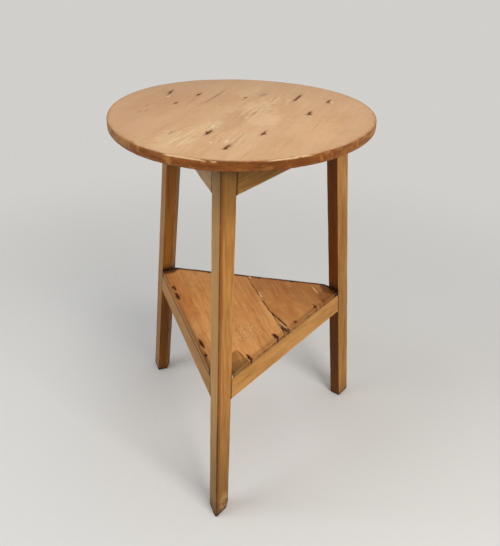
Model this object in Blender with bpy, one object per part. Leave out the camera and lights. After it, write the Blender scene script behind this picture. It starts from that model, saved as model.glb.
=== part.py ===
"""A cricket table: a round top of two boards on three splayed legs.

Three frieze rails under the top and three shelf rails lower down are tenoned
into the legs.  The boards of the top and of the three-cornered shelf are
nailed down on the rails.  All sizes are in metres, with +Z up and the floor
at zero.
"""

import bmesh
import bpy
from math import cos, pi, radians, sin, tan
from mathutils import Matrix, Vector

# Overall height, and the gap kept between pieces that touch
TABLE_HEIGHT = 0.730
FIT_GAP = 0.0003
OVERRUN = 0.002

# Round top: cut by hand, so it is a little oval and has three faint lobes
TOP_THICKNESS = 0.0185
TOP_RADIUS = 0.2433
TOP_SHIFT = -0.010
TOP_RIM_EASE = 0.0018
TOP_JOINT_OFFSET = 0.0985
OVAL_SHARE = 0.017
LOBE_SHARE = 0.021
LOBE_TURN = radians(16.5)
TOP_GRAIN_TURN = radians(68)
TOP_OUTLINE_POINTS = 96
SMOOTH_ANGLE = radians(30)

# Leg frame: three outer faces that lean out towards the floor.  Each side has
# the direction that it faces and the small wind between its foot and its head.
FACE_REACH_TOP = 0.1112
FACE_REACH_FLOOR = 0.1490
SIDES = {
    "front_right": (radians(-37.8), radians(-0.64)),
    "back": (radians(79.3), radians(0.68)),
    "front_left": (radians(199.2), radians(-0.85)),
}

# Each leg stands in the corner between the side before it and the side after
# it, counterclockwise from above
LEGS = {
    "front_leg": ("front_left", "front_right"),
    "right_leg": ("front_right", "back"),
    "left_leg": ("back", "front_left"),
}
LEG_FACE_TOP = 0.0422
LEG_FACE_FLOOR = 0.0395
FRONT_LEG_FACE_TOP = 0.0447
FRONT_LEG_FACE_FLOOR = 0.0402
LEG_ARRIS_EASE = 0.0015
FOOT_EASE = 0.0015

# Rails, flush with the legs outside, and their mitred tenons
RAIL_THICKNESS = 0.0205
FRIEZE_DEPTH = 0.058
SHELF_RAIL_DEPTH = 0.0435
RAIL_ARRIS_EASE = 0.001
TENON_THICKNESS = 0.008
TENON_SETBACK = 0.007
TENON_TOP_SHOULDER = 0.016
TENON_SHOULDER = 0.007
TENON_MITRE_GAP = 0.0008

# Shelf boards, whose joint runs along the grain, beside the front left side
SHELF_HEIGHT = 0.310
SHELF_THICKNESS = 0.010
SHELF_JOINT_OFFSET = 0.179
SHELF_BACK_INSET = 0.010
SHELF_NOTCH_GAP = 0.001

# Corner patch of the shelf: its ragged edge, measured in from the front left
# and from the front right side, where the wide board has broken away
PATCH_GAP = 0.0006
PATCH_WIDTH = 0.079
PATCH_DEPTH = 0.044
PATCH_EDGE_SHARES = ((1.0, 0.0), (0.92, 0.75), (0.85, 0.97))
PATCH_CORNER_SHARES = (0.50, 1.0)

# Wrought nails: half widths of the square tip, shank and head
NAIL_TIP = 0.0007
NAIL_SHANK = 0.0015
NAIL_HEAD = 0.0029
NAIL_HEAD_THICKNESS = 0.0016
NAIL_FLARE = 0.0005
NAIL_SINK = 0.0012
TOP_NAIL_LENGTH = 0.029
SHELF_NAIL_LENGTH = 0.030

# Where the nails are: the share of the way from a side's first leg, or from
# the corner patch, to its second leg, and the share of the rail's thickness
TOP_NAIL_SHARES = {
    "front_right": ((0.305, 0.78), (0.769, 0.80)),
    "back": ((0.216, 0.20), (0.556, 0.62), (0.883, 0.62)),
    "front_left": ((0.164, 0.20), (0.744, 0.72)),
}
SHELF_NAIL_SHARES = {
    "front_right": ((0.032, 0.32), (0.298, 0.32), (0.514, 0.36), (0.732, 0.32)),
    "back": ((0.238, 0.74), (0.446, 0.74), (0.767, 0.74)),
    "front_left": ((0.192, 0.34), (0.306, 0.34), (0.764, 0.44), (0.862, 0.36)),
}

# Nails in the heads of the legs, in from the side before and the side after,
# as shares of the leg's face
LEG_NAIL_SHARES = {
    "front_leg": (0.46, 0.46),
    "right_leg": (0.70, 0.22),
    "left_leg": (0.36, 0.22),
}

FRAME_TOP = TABLE_HEIGHT - TOP_THICKNESS
SHELF_FRAME_TOP = SHELF_HEIGHT - SHELF_THICKNESS


def start_leg(side):
    """The leg that a side starts from, counterclockwise."""
    return next(leg for leg, (_, after) in LEGS.items() if after == side)


def end_leg(side):
    """The leg that a side runs to, counterclockwise."""
    return next(leg for leg, (before, _) in LEGS.items() if before == side)


def rise_share(z):
    """0 on the floor and 1 at the top of the leg frame."""
    return z / FRAME_TOP


def outward(side, z):
    """The direction that a side faces at a height, in plan."""
    turn, wind = SIDES[side]
    angle = turn + wind * (rise_share(z) - 1 / 2)
    return Vector((cos(angle), sin(angle)))


def onward(side, z):
    """The direction along a side, counterclockwise."""
    facing = outward(side, z)
    return Vector((-facing.y, facing.x))


def reach(z):
    """How far a side's outer face lies from the middle of the frame."""
    return FACE_REACH_FLOOR + (FACE_REACH_TOP - FACE_REACH_FLOOR) * rise_share(z)


def inside(z, side, depth, other_side, other_depth):
    """The plan point that lies one depth inside one side and one inside another."""
    rows = Matrix((outward(side, z), outward(other_side, z)))
    return rows.inverted() @ Vector((reach(z) - depth, reach(z) - other_depth))


def leg_face(leg, z):
    """Width of a leg's outer faces; the front leg is a little wider."""
    floor, top = LEG_FACE_FLOOR, LEG_FACE_TOP
    if leg == "front_leg":
        floor, top = FRONT_LEG_FACE_FLOOR, FRONT_LEG_FACE_TOP
    return floor + (top - floor) * rise_share(z)


def leg_corners(leg, z, grow=0):
    """Corner, end of the face after it, inner corner and end of the face before."""
    before, after = LEGS[leg]
    face = leg_face(leg, z) + grow
    apex = inside(z, before, 0, after, 0)
    opening = pi - outward(before, z).angle(outward(after, z))
    side_width = face * tan(opening / 2)
    on_after = apex + onward(after, z) * face
    on_before = apex - onward(before, z) * face
    inner = on_after - outward(after, z) * side_width
    return apex, on_after, inner, on_before


def leg_ring(leg, z, trim=0):
    """Outline of a leg at a height, with its sharp corner eased."""
    before, after = LEGS[leg]
    apex, on_after, inner, on_before = leg_corners(leg, z)
    ease = LEG_ARRIS_EASE
    ring = [apex + onward(after, z) * ease, on_after, inner, on_before, apex - onward(before, z) * ease]
    middle = sum(ring, Vector((0, 0))) / len(ring)
    return [point + (middle - point).normalized() * trim for point in ring]


def top_outline(inset=0):
    """Outline of the round top, drawn in by an inset."""
    points = []
    for step in range(TOP_OUTLINE_POINTS):
        angle = 2 * pi * step / TOP_OUTLINE_POINTS
        swell = 1 + OVAL_SHARE * cos(2 * angle) + LOBE_SHARE * cos(3 * (angle - LOBE_TURN))
        radius = TOP_RADIUS * swell - inset
        points.append(Vector((TOP_SHIFT + radius * cos(angle), radius * sin(angle))))
    return points


def middle_of_plan():
    """Middle of the box round the top and the feet, which goes over the origin."""
    points = top_outline()
    for leg in LEGS:
        points += leg_ring(leg, FOOT_EASE)
    across = [point.x for point in points]
    deep = [point.y for point in points]
    return Vector(((min(across) + max(across)) / 2, (min(deep) + max(deep)) / 2, 0))


def wood(name, colour, roughness):
    """A plain wood finish."""
    material = bpy.data.materials.new(name)
    material.use_nodes = True
    shader = material.node_tree.nodes["Principled BSDF"]
    shader.inputs["Base Color"].default_value = (*colour, 1)
    shader.inputs["Roughness"].default_value = roughness
    shader.inputs["Metallic"].default_value = 0
    return material


def iron(name):
    """Dark forged iron."""
    material = wood(name, (0.06, 0.05, 0.045), 0.6)
    material.node_tree.nodes["Principled BSDF"].inputs["Metallic"].default_value = 1
    return material


def loft(rings):
    """A closed solid through level rings, given as (height, outline) pairs."""
    bm = bmesh.new()
    loops = []
    for height, outline in rings:
        corners = [bm.verts.new((point.x, point.y, height)) for point in outline]
        loops.append([bm.edges.new(pair) for pair in zip(corners, corners[1:] + corners[:1])])
    for below, above in zip(loops, loops[1:]):
        bmesh.ops.bridge_loops(bm, edges=below + above)
    for rim in (loops[0], loops[-1]):
        bmesh.ops.contextual_create(bm, geom=rim)
    bmesh.ops.recalc_face_normals(bm, faces=bm.faces)
    return bm


def add_piece(name, bm, material):
    """Makes an object of a solid, over the origin of the whole table."""
    bmesh.ops.translate(bm, verts=bm.verts, vec=-PLAN_MIDDLE)
    mesh = bpy.data.meshes.new(name)
    bm.to_mesh(mesh)
    bm.free()
    mesh.materials.append(material)
    piece = bpy.data.objects.new(name, mesh)
    bpy.context.scene.collection.objects.link(piece)
    return piece


def add_cutter(name, bm):
    """A solid that only takes wood away."""
    cutter = add_piece(name, bm, CUTTER_FINISH)
    cutter.hide_render = True
    cutter.display_type = 'WIRE'
    return cutter


def cut(piece, cutter, operation='DIFFERENCE'):
    """Cuts a piece with a cutter, or joins the two."""
    modifier = piece.modifiers.new(cutter.name, 'BOOLEAN')
    modifier.operation = operation
    modifier.solver = 'EXACT'
    modifier.object = cutter


def rail_ring(side, z):
    """Outline of a rail between its two legs, mitred where it would meet its neighbour."""
    before = LEGS[start_leg(side)][0]
    after = LEGS[end_leg(side)][1]
    begin = leg_corners(start_leg(side), z, FIT_GAP)[1]
    end = leg_corners(end_leg(side), z, FIT_GAP)[3]
    inward = -outward(side, z) * RAIL_THICKNESS
    mitre_depth = RAIL_THICKNESS + FIT_GAP
    mitre_begin = inside(z, side, RAIL_THICKNESS, before, mitre_depth)
    mitre_end = inside(z, side, RAIL_THICKNESS, after, mitre_depth)
    way = onward(side, z)
    inner_begin = max(begin + inward, mitre_begin, key=way.dot)
    inner_end = min(end + inward, mitre_end, key=way.dot)
    return [begin, end, inner_end, inner_begin]


def tenon_ring(side, z, grow, mitre_gap):
    """Outline of the tongue that runs through a rail and into both legs."""
    before = LEGS[start_leg(side)][0]
    after = LEGS[end_leg(side)][1]
    shallow = TENON_SETBACK - grow
    deep = TENON_SETBACK + TENON_THICKNESS + grow
    return [
        inside(z, before, shallow + mitre_gap, side, shallow),
        inside(z, side, shallow, after, shallow + mitre_gap),
        inside(z, side, deep, after, deep + mitre_gap),
        inside(z, before, deep + mitre_gap, side, deep),
    ]


def tenon_solid(side, low, high, grow, mitre_gap):
    """The tongue of a rail, or with some growth the space cut for it."""
    rings = [(z, tenon_ring(side, z, grow, mitre_gap)) for z in (low - grow, high + grow)]
    return loft(rings)


def add_rail(name, side, top, depth, finish):
    """A rail with its tenons; gives back the cutter for its mortises."""
    low = top - depth
    body = loft([(z, rail_ring(side, z)) for z in (low, top)])
    long_edges = [edge for edge in body.edges if is_long_outer_edge(edge, side)]
    bmesh.ops.bevel(body, geom=long_edges, offset=RAIL_ARRIS_EASE, segments=1, profile=0.5,
                    affect='EDGES', material=-1)
    rail = add_piece(name, body, finish)
    tenon_low = low + TENON_SHOULDER
    tenon_high = top - TENON_TOP_SHOULDER
    tongue = add_cutter(name + "_tongue", tenon_solid(side, tenon_low, tenon_high, 0, TENON_MITRE_GAP))
    cut(rail, tongue, 'UNION')
    space = tenon_solid(side, tenon_low, tenon_high, FIT_GAP, -TENON_MITRE_GAP)
    return rail, add_cutter(name + "_mortises", space)


def is_long_outer_edge(edge, side):
    """Whether an edge runs along a rail's outer face."""
    ends = [vert.co for vert in edge.verts]
    level = abs(ends[0].z - ends[1].z) < FIT_GAP
    along = (ends[1] - ends[0]).to_2d()
    facing = outward(side, ends[0].z)
    runs_along = abs(along.dot(facing)) < along.length / 2
    in_face = all(reach(end.z) - end.to_2d().dot(outward(side, end.z)) < RAIL_THICKNESS / 2 for end in ends)
    return level and runs_along and in_face


def add_leg(name, finish):
    """A tapered leg, eased round its foot, that follows the rails' edges."""
    heights = (FOOT_EASE, SHELF_FRAME_TOP - SHELF_RAIL_DEPTH, SHELF_FRAME_TOP,
               FRAME_TOP - FRIEZE_DEPTH, FRAME_TOP - FIT_GAP)
    rings = [(0, leg_ring(name, 0, FOOT_EASE))] + [(z, leg_ring(name, z)) for z in heights]
    return add_piece(name, loft(rings), finish)


def add_top_boards(finish):
    """The round top, sawn into a wide and a narrow board along the grain."""
    low, high = FRAME_TOP, TABLE_HEIGHT
    ease = TOP_RIM_EASE
    levels = ((low, ease), (low + ease, 0), (high - ease, 0), (high, ease))
    across = Vector((-sin(TOP_GRAIN_TURN), cos(TOP_GRAIN_TURN), 0))
    boards = []
    for name, keep in (("top_board_wide", -1), ("top_board_narrow", 1)):
        bm = loft([(z, top_outline(inset)) for z, inset in levels])
        joint = across * (TOP_JOINT_OFFSET + keep * FIT_GAP / 2)
        halves = bmesh.ops.bisect_plane(bm, geom=bm.verts[:] + bm.edges[:] + bm.faces[:], dist=FIT_GAP / 100,
                                        plane_co=joint, plane_no=across * -keep, clear_outer=True)
        sawn = [item for item in halves["geom_cut"] if isinstance(item, bmesh.types.BMEdge)]
        bmesh.ops.contextual_create(bm, geom=sawn)
        bmesh.ops.recalc_face_normals(bm, faces=bm.faces)
        board = add_piece(name, bm, finish)
        board.data.shade_smooth()
        board.data.set_sharp_from_angle(angle=SMOOTH_ANGLE)
        boards.append(board)
    return boards


def shelf_cut_points(leg, z):
    """The three corners of the notch that a shelf board has round a leg."""
    _, on_after, inner, on_before = leg_corners(leg, z, SHELF_NOTCH_GAP)
    return on_after, inner, on_before


def patch_edge(z, gap):
    """The ragged edge between the patch and the wide board."""
    corner_across, corner_deep = PATCH_CORNER_SHARES
    points = []
    for across, deep in PATCH_EDGE_SHARES:
        into_board = max(PATCH_DEPTH * deep - gap, 0)
        points.append(inside(z, "front_left", PATCH_WIDTH * across - gap, "front_right", into_board))
    points.append(inside(z, "front_left", PATCH_WIDTH * corner_across + gap,
                         "front_right", PATCH_DEPTH * corner_deep - gap))
    return points


def wide_shelf_ring(z):
    """Outline of the shelf board beside the front left side."""
    _, front_inner, front_left_end = shelf_cut_points("front_leg", z)
    left_face_end, left_inner, left_back_end = shelf_cut_points("left_leg", z)
    back_end = left_back_end - outward("back", z) * SHELF_BACK_INSET
    edge = patch_edge(z, 0)
    return [
        inside(z, "front_left", SHELF_JOINT_OFFSET, "front_right", 0),
        inside(z, "front_left", SHELF_JOINT_OFFSET, "back", SHELF_BACK_INSET),
        back_end, left_inner, left_face_end,
        front_left_end, front_inner, *reversed(edge),
    ]


def right_shelf_ring(z):
    """Outline of the shelf board that ends at the right leg."""
    right_back_end, right_inner, right_face_end = shelf_cut_points("right_leg", z)
    joint = SHELF_JOINT_OFFSET + FIT_GAP
    return [
        inside(z, "front_left", joint, "front_right", 0),
        right_face_end, right_inner, right_back_end - outward("back", z) * SHELF_BACK_INSET,
        inside(z, "front_left", joint, "back", SHELF_BACK_INSET),
    ]


def patch_ring(z):
    """Outline of the small piece let in beside the front leg."""
    face_end, inner, _ = shelf_cut_points("front_leg", z)
    start = inner + (face_end - inner).normalized() * PATCH_GAP * 2
    return [start, face_end, *patch_edge(z, PATCH_GAP)]


def add_shelf_board(name, ring_at, finish):
    """A shelf board from its outline at each height."""
    return add_piece(name, loft([(z, ring_at(z)) for z in (SHELF_FRAME_TOP, SHELF_HEIGHT)]), finish)


def square(middle, half_width, turn):
    """Outline of a square that is turned from the X axis."""
    turned = Matrix.Rotation(turn, 2) * half_width
    return [middle + turned @ Vector(corner) for corner in ((-1, -1), (1, -1), (1, 1), (-1, 1))]


def nail_solid(middle, surface, length, turn):
    """A nail with a domed square head, sunk below a surface."""
    head_top = surface - NAIL_SINK
    head_low = head_top - NAIL_HEAD_THICKNESS
    return loft([
        (head_top - length, square(middle, NAIL_TIP, turn)),
        (head_low, square(middle, NAIL_SHANK, turn)),
        (head_low + NAIL_FLARE, square(middle, NAIL_HEAD, turn)),
        (head_top - NAIL_FLARE, square(middle, NAIL_HEAD, turn)),
        (head_top, square(middle, NAIL_SHANK, turn)),
    ])


def nail_hole(middle, surface, length, turn):
    """The space round a nail, open at the surface."""
    head_top = surface - NAIL_SINK
    head_low = head_top - NAIL_HEAD_THICKNESS - FIT_GAP
    return loft([
        (head_top - length - FIT_GAP, square(middle, NAIL_TIP + FIT_GAP, turn)),
        (head_low, square(middle, NAIL_SHANK + FIT_GAP, turn)),
        (head_low + NAIL_FLARE, square(middle, NAIL_HEAD + FIT_GAP, turn)),
        (surface + OVERRUN, square(middle, NAIL_HEAD + FIT_GAP, turn)),
    ])


def add_nails(name, places, surface, length, turn, finish):
    """Nails at plan points; gives back one cutter with all their holes."""
    holes = bmesh.new()
    for number, middle in enumerate(places, 1):
        add_piece(f"{name}_{number}", nail_solid(middle, surface, length, turn), finish)
        hole = nail_hole(middle, surface, length, turn)
        mesh = bpy.data.meshes.new("hole")
        hole.to_mesh(mesh)
        hole.free()
        holes.from_mesh(mesh)
        bpy.data.meshes.remove(mesh)
    return add_cutter(name + "_holes", holes)


def nail_places(shares, z, beside_patch=None):
    """Plan points of the nails between the legs, or between the patch and a leg."""
    places = []
    for side, pairs in shares.items():
        first = leg_corners(start_leg(side), z)[1]
        last = leg_corners(end_leg(side), z)[3]
        if side == beside_patch:
            first = inside(z, "front_left", PATCH_WIDTH, side, 0)
        places += [first.lerp(last, share) - outward(side, z) * RAIL_THICKNESS * depth_share
                   for share, depth_share in pairs]
    return places


def leg_nail_places(z):
    """Plan points of the nails in the heads of the legs."""
    places = []
    for leg, (before_share, after_share) in LEG_NAIL_SHARES.items():
        before, after = LEGS[leg]
        face = leg_face(leg, z)
        places.append(inside(z, before, face * before_share, after, face * after_share))
    return places


def build():
    """Makes every piece of the table."""
    leg_wood = wood("leg_wood", (0.42, 0.23, 0.09), 0.5)
    rail_wood = wood("rail_wood", (0.45, 0.28, 0.12), 0.5)
    top_wood = wood("top_wood", (0.60, 0.37, 0.19), 0.45)
    shelf_wood = wood("shelf_wood", (0.50, 0.25, 0.09), 0.45)
    patch_wood = wood("patch_wood", (0.36, 0.19, 0.08), 0.55)
    nail_iron = iron("nail_iron")

    legs = [add_leg(name, leg_wood) for name in LEGS]
    frieze_rails = []
    shelf_rails = []
    for side in SIDES:
        frieze, frieze_space = add_rail("frieze_rail_" + side, side, FRAME_TOP - FIT_GAP,
                                        FRIEZE_DEPTH, rail_wood)
        shelf, shelf_space = add_rail("shelf_rail_" + side, side, SHELF_FRAME_TOP - FIT_GAP,
                                      SHELF_RAIL_DEPTH, rail_wood)
        frieze_rails.append(frieze)
        shelf_rails.append(shelf)
        for leg in legs:
            if side in LEGS[leg.name]:
                cut(leg, frieze_space)
                cut(leg, shelf_space)

    top_boards = add_top_boards(top_wood)
    shelf_boards = [
        add_shelf_board("shelf_board_wide", wide_shelf_ring, shelf_wood),
        add_shelf_board("shelf_board_right", right_shelf_ring, shelf_wood),
    ]
    add_shelf_board("shelf_corner_patch", patch_ring, patch_wood)

    top_places = nail_places(TOP_NAIL_SHARES, FRAME_TOP) + leg_nail_places(FRAME_TOP)
    top_holes = add_nails("top_nail", top_places, TABLE_HEIGHT, TOP_NAIL_LENGTH, TOP_GRAIN_TURN, nail_iron)
    shelf_places = nail_places(SHELF_NAIL_SHARES, SHELF_HEIGHT, beside_patch="front_right")
    shelf_turn = SIDES["front_left"][0]
    shelf_holes = add_nails("shelf_nail", shelf_places, SHELF_HEIGHT, SHELF_NAIL_LENGTH,
                            shelf_turn, nail_iron)
    for piece in top_boards + frieze_rails + legs:
        cut(piece, top_holes)
    for piece in shelf_boards + shelf_rails:
        cut(piece, shelf_holes)


for leftover in list(bpy.data.objects):
    bpy.data.objects.remove(leftover)
PLAN_MIDDLE = middle_of_plan()
CUTTER_FINISH = wood("cutter", (0.5, 0.5, 0.5), 0.5)
build()
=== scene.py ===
"""Looks for an old pine cricket table.

The table stands on its three feet at z = 0, with the front leg towards -Y.
Every wooden piece is a copy of its plain solid with worn arrises, slightly
uneven faces and the hollows, splits and broken edges of an old piece, and has
its own wood, whose grain follows the piece.
"""

from math import cos, pi, radians, sin

import bmesh
import bpy
from mathutils import Matrix, Vector, noise


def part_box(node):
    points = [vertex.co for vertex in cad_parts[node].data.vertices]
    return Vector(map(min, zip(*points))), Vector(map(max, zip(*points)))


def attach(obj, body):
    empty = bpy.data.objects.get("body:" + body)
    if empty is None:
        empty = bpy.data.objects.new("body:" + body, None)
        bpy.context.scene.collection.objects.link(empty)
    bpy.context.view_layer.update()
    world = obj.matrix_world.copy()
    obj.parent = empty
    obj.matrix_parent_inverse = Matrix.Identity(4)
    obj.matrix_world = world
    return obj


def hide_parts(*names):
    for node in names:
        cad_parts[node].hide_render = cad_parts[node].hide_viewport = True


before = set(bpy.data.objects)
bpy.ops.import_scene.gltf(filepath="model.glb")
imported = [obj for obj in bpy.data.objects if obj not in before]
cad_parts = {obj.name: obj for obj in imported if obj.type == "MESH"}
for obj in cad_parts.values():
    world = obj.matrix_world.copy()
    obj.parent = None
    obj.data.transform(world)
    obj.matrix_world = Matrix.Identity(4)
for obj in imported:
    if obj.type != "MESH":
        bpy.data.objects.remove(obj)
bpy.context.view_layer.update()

UP = Vector((0, 0, 1))


def levels_of(node):
    """The heights of the lower and the upper face of a solid."""
    return [round(corner.z, 5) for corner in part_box(node)]


def heading(degrees):
    """A level direction, from its angle round the table."""
    return Vector((cos(radians(degrees)), sin(radians(degrees)), 0))


def spot(place, height):
    """A place on a board, from millimetres."""
    return Vector((place[0] / 1000, place[1] / 1000, height))


TOP_FLOOR, TOP_HEIGHT = levels_of("top_board_wide")
SHELF_FLOOR, SHELF_HEIGHT = levels_of("shelf_board_wide")
FRIEZE_FLOOR = levels_of("frieze_rail_back")[0]
SHELF_RAIL_FLOOR = levels_of("shelf_rail_back")[0]

TOP_GRAIN = heading(68)
SHELF_GRAIN = heading(109.2)

# Sides of the frame that the legs and rails make, and the direction that each faces
FACING = {
    "front_right": heading(-37.8),
    "back": heading(79.3),
    "front_left": heading(199.2),
}
LEG_SIDES = {
    "front_leg": ("front_left", "front_right"),
    "right_leg": ("front_right", "back"),
    "left_leg": ("back", "front_left"),
}


# Meshes

# How near two corners are one, and how near a cut may pass a corner
JOINED = 0.00001
CUT_CLEARANCE = 0.00004
# Angles between faces: still flat, an arris, and shaded as a sharp edge
FLAT_ANGLE = radians(1.2)
ARRIS_ANGLE = radians(15)
SHARP_ANGLE = radians(38)
# How far from an arris the wear reaches, and how far distances are noted
WEAR_REACH = 0.004
NOTED_REACH = 0.03
# How far the cutters of cracks and the middles of hollows' cutters stand above a board
CRACK_LIFT = 0.0006
HOLLOW_LIFT = 0.0004


def add_object(name, data):
    """Adds an object to the scene."""
    made = bpy.data.objects.new(name, data)
    bpy.context.scene.collection.objects.link(made)
    return made


def object_from(bm, name):
    """Adds an object with a finished mesh."""
    mesh = bpy.data.meshes.new(name)
    bm.to_mesh(mesh)
    bm.free()
    return add_object(name, mesh)


def everything_in(bm):
    """All corners, edges and faces of a mesh."""
    return bm.verts[:] + bm.edges[:] + bm.faces[:]


def reach_of(node, direction):
    """How far a solid reaches in a direction from the middle of the plan."""
    return max(vert.co.dot(direction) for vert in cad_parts[node].data.vertices)


def merged_copy(node):
    """A copy of a solid, with its triangles joined into whole faces."""
    bm = bmesh.new()
    bm.from_mesh(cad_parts[node].data)
    bmesh.ops.remove_doubles(bm, verts=bm.verts, dist=JOINED)
    bmesh.ops.dissolve_limit(bm, angle_limit=FLAT_ANGLE, verts=bm.verts, edges=bm.edges)
    return bm


def middle_of(edge):
    """The middle of an edge."""
    return (edge.verts[0].co + edge.verts[1].co) / 2


def arrises_of(bm, shortest):
    """Corner edges of a piece from a length up."""
    return [edge for edge in bm.edges
            if edge.calc_length() > shortest and edge.calc_face_angle(0) > ARRIS_ANGLE]


def soften(bm, edges, width, segments=3):
    """Rounds corner edges and gives back where they were."""
    lines = [(edge.verts[0].co.copy(), edge.verts[1].co.copy()) for edge in edges]
    bmesh.ops.bevel(bm, geom=edges, offset=width, segments=segments, profile=0.5,
                    affect='EDGES', material=-1, clamp_overlap=True)
    return lines


def plane_off(bm, place, facing):
    """Planes a flat on a piece, which faces a direction and goes through a place."""
    bmesh.ops.bisect_plane(bm, geom=everything_in(bm), dist=JOINED, plane_co=place, plane_no=facing,
                           clear_outer=True)
    bmesh.ops.holes_fill(bm, edges=[edge for edge in bm.edges if edge.is_boundary])
    bmesh.ops.recalc_face_normals(bm, faces=bm.faces)


def comb(bm, *cuts):
    """Cuts a piece across at even steps, by direction and spacing, so that it can follow uneven wood."""
    for direction, spacing in cuts:
        reaches = [vert.co.dot(direction) for vert in bm.verts]
        low, high = min(reaches), max(reaches)
        steps = max(2, round((high - low) / spacing))
        for step in range(1, steps):
            place = direction * (low + (high - low) * step / steps)
            bmesh.ops.bisect_plane(bm, geom=everything_in(bm), dist=CUT_CLEARANCE, plane_co=place,
                                   plane_no=direction)


def offset_from(point, line):
    """From the nearest place on the piece of line between two ends to a point."""
    start, end = line
    along = end - start
    share = min(1, max(0, (point - start).dot(along) / along.length_squared))
    return point - start - along * share


def nearest(point, lines):
    """Distance from a point to the nearest of some lines."""
    return min(offset_from(point, line).length for line in lines)


def wear(bm, lines, depth, waviness, seed):
    """Wears the arrises unevenly and makes the faces a little wavy, always inwards."""
    offset = Vector((seed, seed * 2, seed * 3))
    bm.normal_update()
    moves = []
    for vert in bm.verts:
        near = max(0, 1 - nearest(vert.co, lines) / WEAR_REACH)
        patchy = max(0, noise.noise(vert.co * 23 + offset) + 0.45)
        nicks = max(0, noise.noise(vert.co * 170 + offset) - 0.25) * 2
        flow = (1 - noise.noise(vert.co * 9 + offset)) * waviness / 2
        moves.append(vert.normal * (flow + depth * near * (patchy + nicks)))
    for vert, move in zip(bm.verts, moves):
        vert.co -= move


def piece_from(bm, node, material):
    """Makes a finished piece that stands for its plain solid."""
    piece = object_from(bm, "worn_" + node)
    piece.data.materials.append(material)
    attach(piece, "root")
    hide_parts(node)
    return piece


def carve(piece, cutters):
    """Cuts hollows out of a piece."""
    for cutter in cutters:
        cut = piece.modifiers.new(cutter.name, 'BOOLEAN')
        cut.solver = 'MANIFOLD'
        cut.object = cutter
    shaped = piece.evaluated_get(bpy.context.evaluated_depsgraph_get())
    mesh = bpy.data.meshes.new_from_object(shaped)
    piece.modifiers.clear()
    piece.data = mesh
    for cutter in cutters:
        bpy.data.objects.remove(cutter)


def gouge(centre, along, out, length, width, depth, seed):
    """A cutter for a long ragged hollow in a face that looks out one way."""
    bm = bmesh.new()
    bmesh.ops.create_icosphere(bm, subdivisions=3, radius=1)
    turn = Matrix((along, out.cross(along), out)).transposed().to_4x4()
    bmesh.ops.scale(bm, vec=(length / 2, width / 2, depth), verts=bm.verts)
    for vert in bm.verts:
        bump = noise.noise(vert.co * 190 + Vector((seed, 0, 0)))
        vert.co.x *= 1 + bump * 0.15
        vert.co.y *= 1 + bump * 0.6
    bmesh.ops.transform(bm, matrix=Matrix.Translation(centre) @ turn, verts=bm.verts)
    return object_from(bm, "gouge")


def crack(points, width, depth, seed):
    """A cutter for a crack along some level places, which runs out at both ends."""
    path = [start.lerp(end, step / 4) for start, end in zip(points, points[1:]) for step in range(4)]
    path.append(points[-1])
    bm = bmesh.new()
    bmesh.ops.create_circle(bm, segments=3, radius=0.001, cap_ends=True)
    face = bm.faces[:][0]
    inner = []
    for index, place in enumerate(path):
        if index:
            made = bmesh.ops.extrude_face_region(bm, geom=[face])["geom"]
            face = [part for part in made if isinstance(part, bmesh.types.BMFace)][0]
            inner.append(face)
        ahead = path[min(index + 1, len(path) - 1)] - path[max(index - 1, 0)]
        across = UP.cross(ahead.normalized())
        opening = 0.15 + 0.85 * sin(pi * index / (len(path) - 1)) ** 0.5
        ragged = 1 + noise.noise(place * 310 + Vector((seed, 0, 0)))
        middle = place + across * (noise.noise(place * 130 + Vector((0, seed, 0))) * 0.0012)
        half = across * (width / 2 * opening * ragged)
        lift = UP * CRACK_LIFT
        corners = (middle + half + lift, middle - half + lift, middle - UP * (depth * opening))
        for vert, corner in zip(face.verts, corners):
            vert.co = corner
    bmesh.ops.delete(bm, geom=inner[:-1], context='FACES_ONLY')
    bmesh.ops.recalc_face_normals(bm, faces=bm.faces)
    return object_from(bm, "crack")


def note(piece, name, measure):
    """Notes a distance at each point of a piece, for its material."""
    noted = piece.data.attributes.new(name, 'FLOAT', 'POINT')
    for index, vert in enumerate(piece.data.vertices):
        noted.data[index].value = min(NOTED_REACH, measure(vert.co))


def note_faces(piece, name, test):
    """Notes which faces of a piece pass a test, for its material."""
    noted = piece.data.attributes.new(name, 'FLOAT', 'FACE')
    for index, face in enumerate(piece.data.polygons):
        noted.data[index].value = test(face.normal)


def finish_surface(piece, lines, sides=None):
    """Notes how far each point lies from an arris, and shades the piece smooth.

    How far it lies inland from the outline, seen from above, is noted too.
    Where the directions of a leg's outer sides are given, the faces that look
    another way are noted as inner faces.
    """
    note(piece, "arris", lambda place: nearest(place, lines))
    note(piece, "inland", lambda place: min(offset_from(place, line).xy.length for line in lines))
    if sides:
        note_faces(piece, "inner", lambda normal: max(normal.dot(side) for side in sides) < 0.3)
    piece.data.shade_smooth()
    piece.data.set_sharp_from_angle(angle=SHARP_ANGLE)
    weights = piece.modifiers.new("even_shading", 'WEIGHTED_NORMAL')
    weights.keep_sharp = True


# Materials

# How deep the grain of the wood stands out
GRAIN_RELIEF = 0.00015


def paint(red, green, blue):
    """A colour from its screen values of 0 to 255."""
    return (*[(value / 255) ** 2.2 for value in (red, green, blue)], 1)


def feed(slot, value):
    """Links a field to a socket, or sets a plain value there."""
    if isinstance(value, Field):
        slot.id_data.links.new(value.socket, slot)
    else:
        slot.default_value = value


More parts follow.
